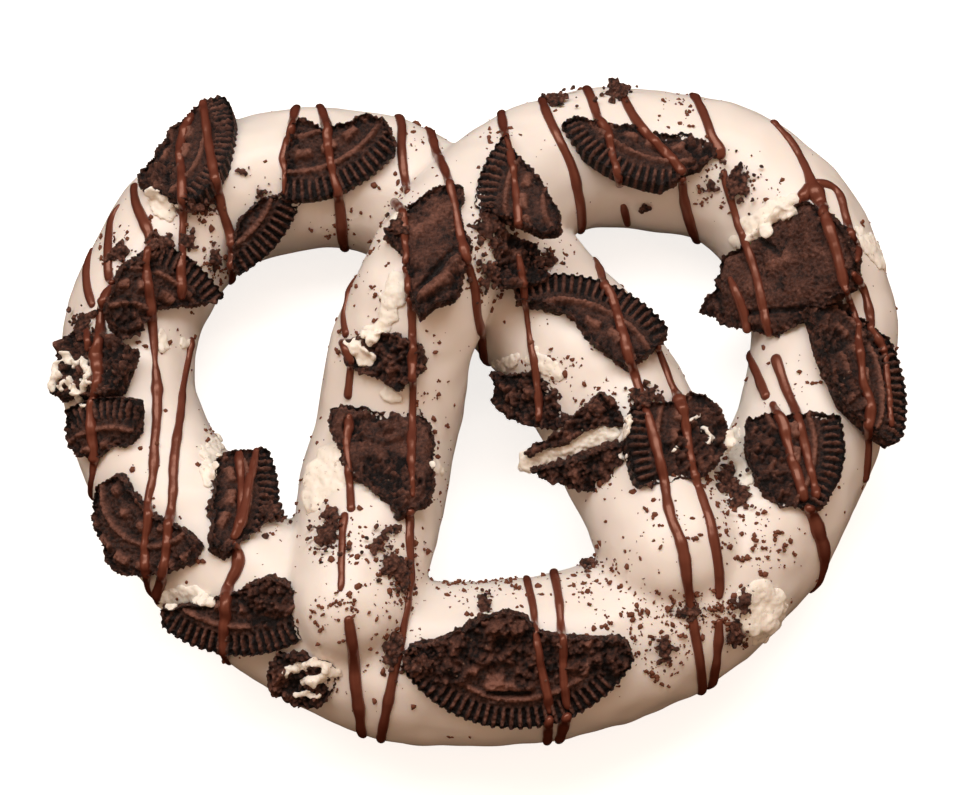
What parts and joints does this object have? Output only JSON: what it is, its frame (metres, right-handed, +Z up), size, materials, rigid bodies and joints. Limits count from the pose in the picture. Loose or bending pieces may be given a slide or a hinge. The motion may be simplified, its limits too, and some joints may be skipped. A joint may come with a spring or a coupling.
{
  "type": "chocolate covered pretzel",
  "caption": "Soft pretzel in a white chocolate coating, strewn with broken cocoa sandwich cookies and striped with milk chocolate.",
  "frame": {"origin": "middle of the bounding box at the level of the flat foot", "axes": "+Z up from the surface that it lies on, +X to the right, -Y towards the thick front of the rope, where both arms end"},
  "size_m": [0.1505, 0.1222, 0.0385],
  "materials": {
    "white_chocolate": "set white chocolate coating, satin, off-white",
    "cocoa_wafer": "dry dark cocoa cookie, rough and crumbly",
    "vanilla_filling": "matt vanilla filling, off-white"
  },
  "bodies": {
    "root": {"coated_pretzel": "white_chocolate", "shard_top_left": "cocoa_wafer", "shard_top": "cocoa_wafer", "shard_loop_edge": "cocoa_wafer", "shard_left_upper": "cocoa_wafer", "shard_left_sandwich": "cocoa_wafer", "shard_left_edge": "cocoa_wafer", "shard_left_lower": "cocoa_wafer", "shard_loop_corner": "cocoa_wafer", "shard_belly_left": "cocoa_wafer", "shard_belly_cream": "cocoa_wafer", "shard_belly_front": "cocoa_wafer", "shard_arm_upper": "cocoa_wafer", "shard_arm_lower": "cocoa_wafer", "shard_crossing": "cocoa_wafer", "shard_crossing_wedge": "cocoa_wafer", "shard_crossing_low": "cocoa_wafer", "shard_right_arm_rim": "cocoa_wafer", "shard_arm_inner": "cocoa_wafer", "shard_arm_sandwich_low": "cocoa_wafer", "shard_arm_sandwich_high": "cocoa_wafer", "shard_arm_outer": "cocoa_wafer", "shard_top_right": "cocoa_wafer", "shard_right_back": "cocoa_wafer", "shard_right_edge": "cocoa_wafer", "shard_right_lower": "cocoa_wafer", "cream_layer": "vanilla_filling", "cream_on_left_piece": "vanilla_filling", "cream_on_belly_piece": "vanilla_filling", "cream_left_arm": "vanilla_filling", "cream_right_front": "vanilla_filling"}
  },
  "joints": []
}
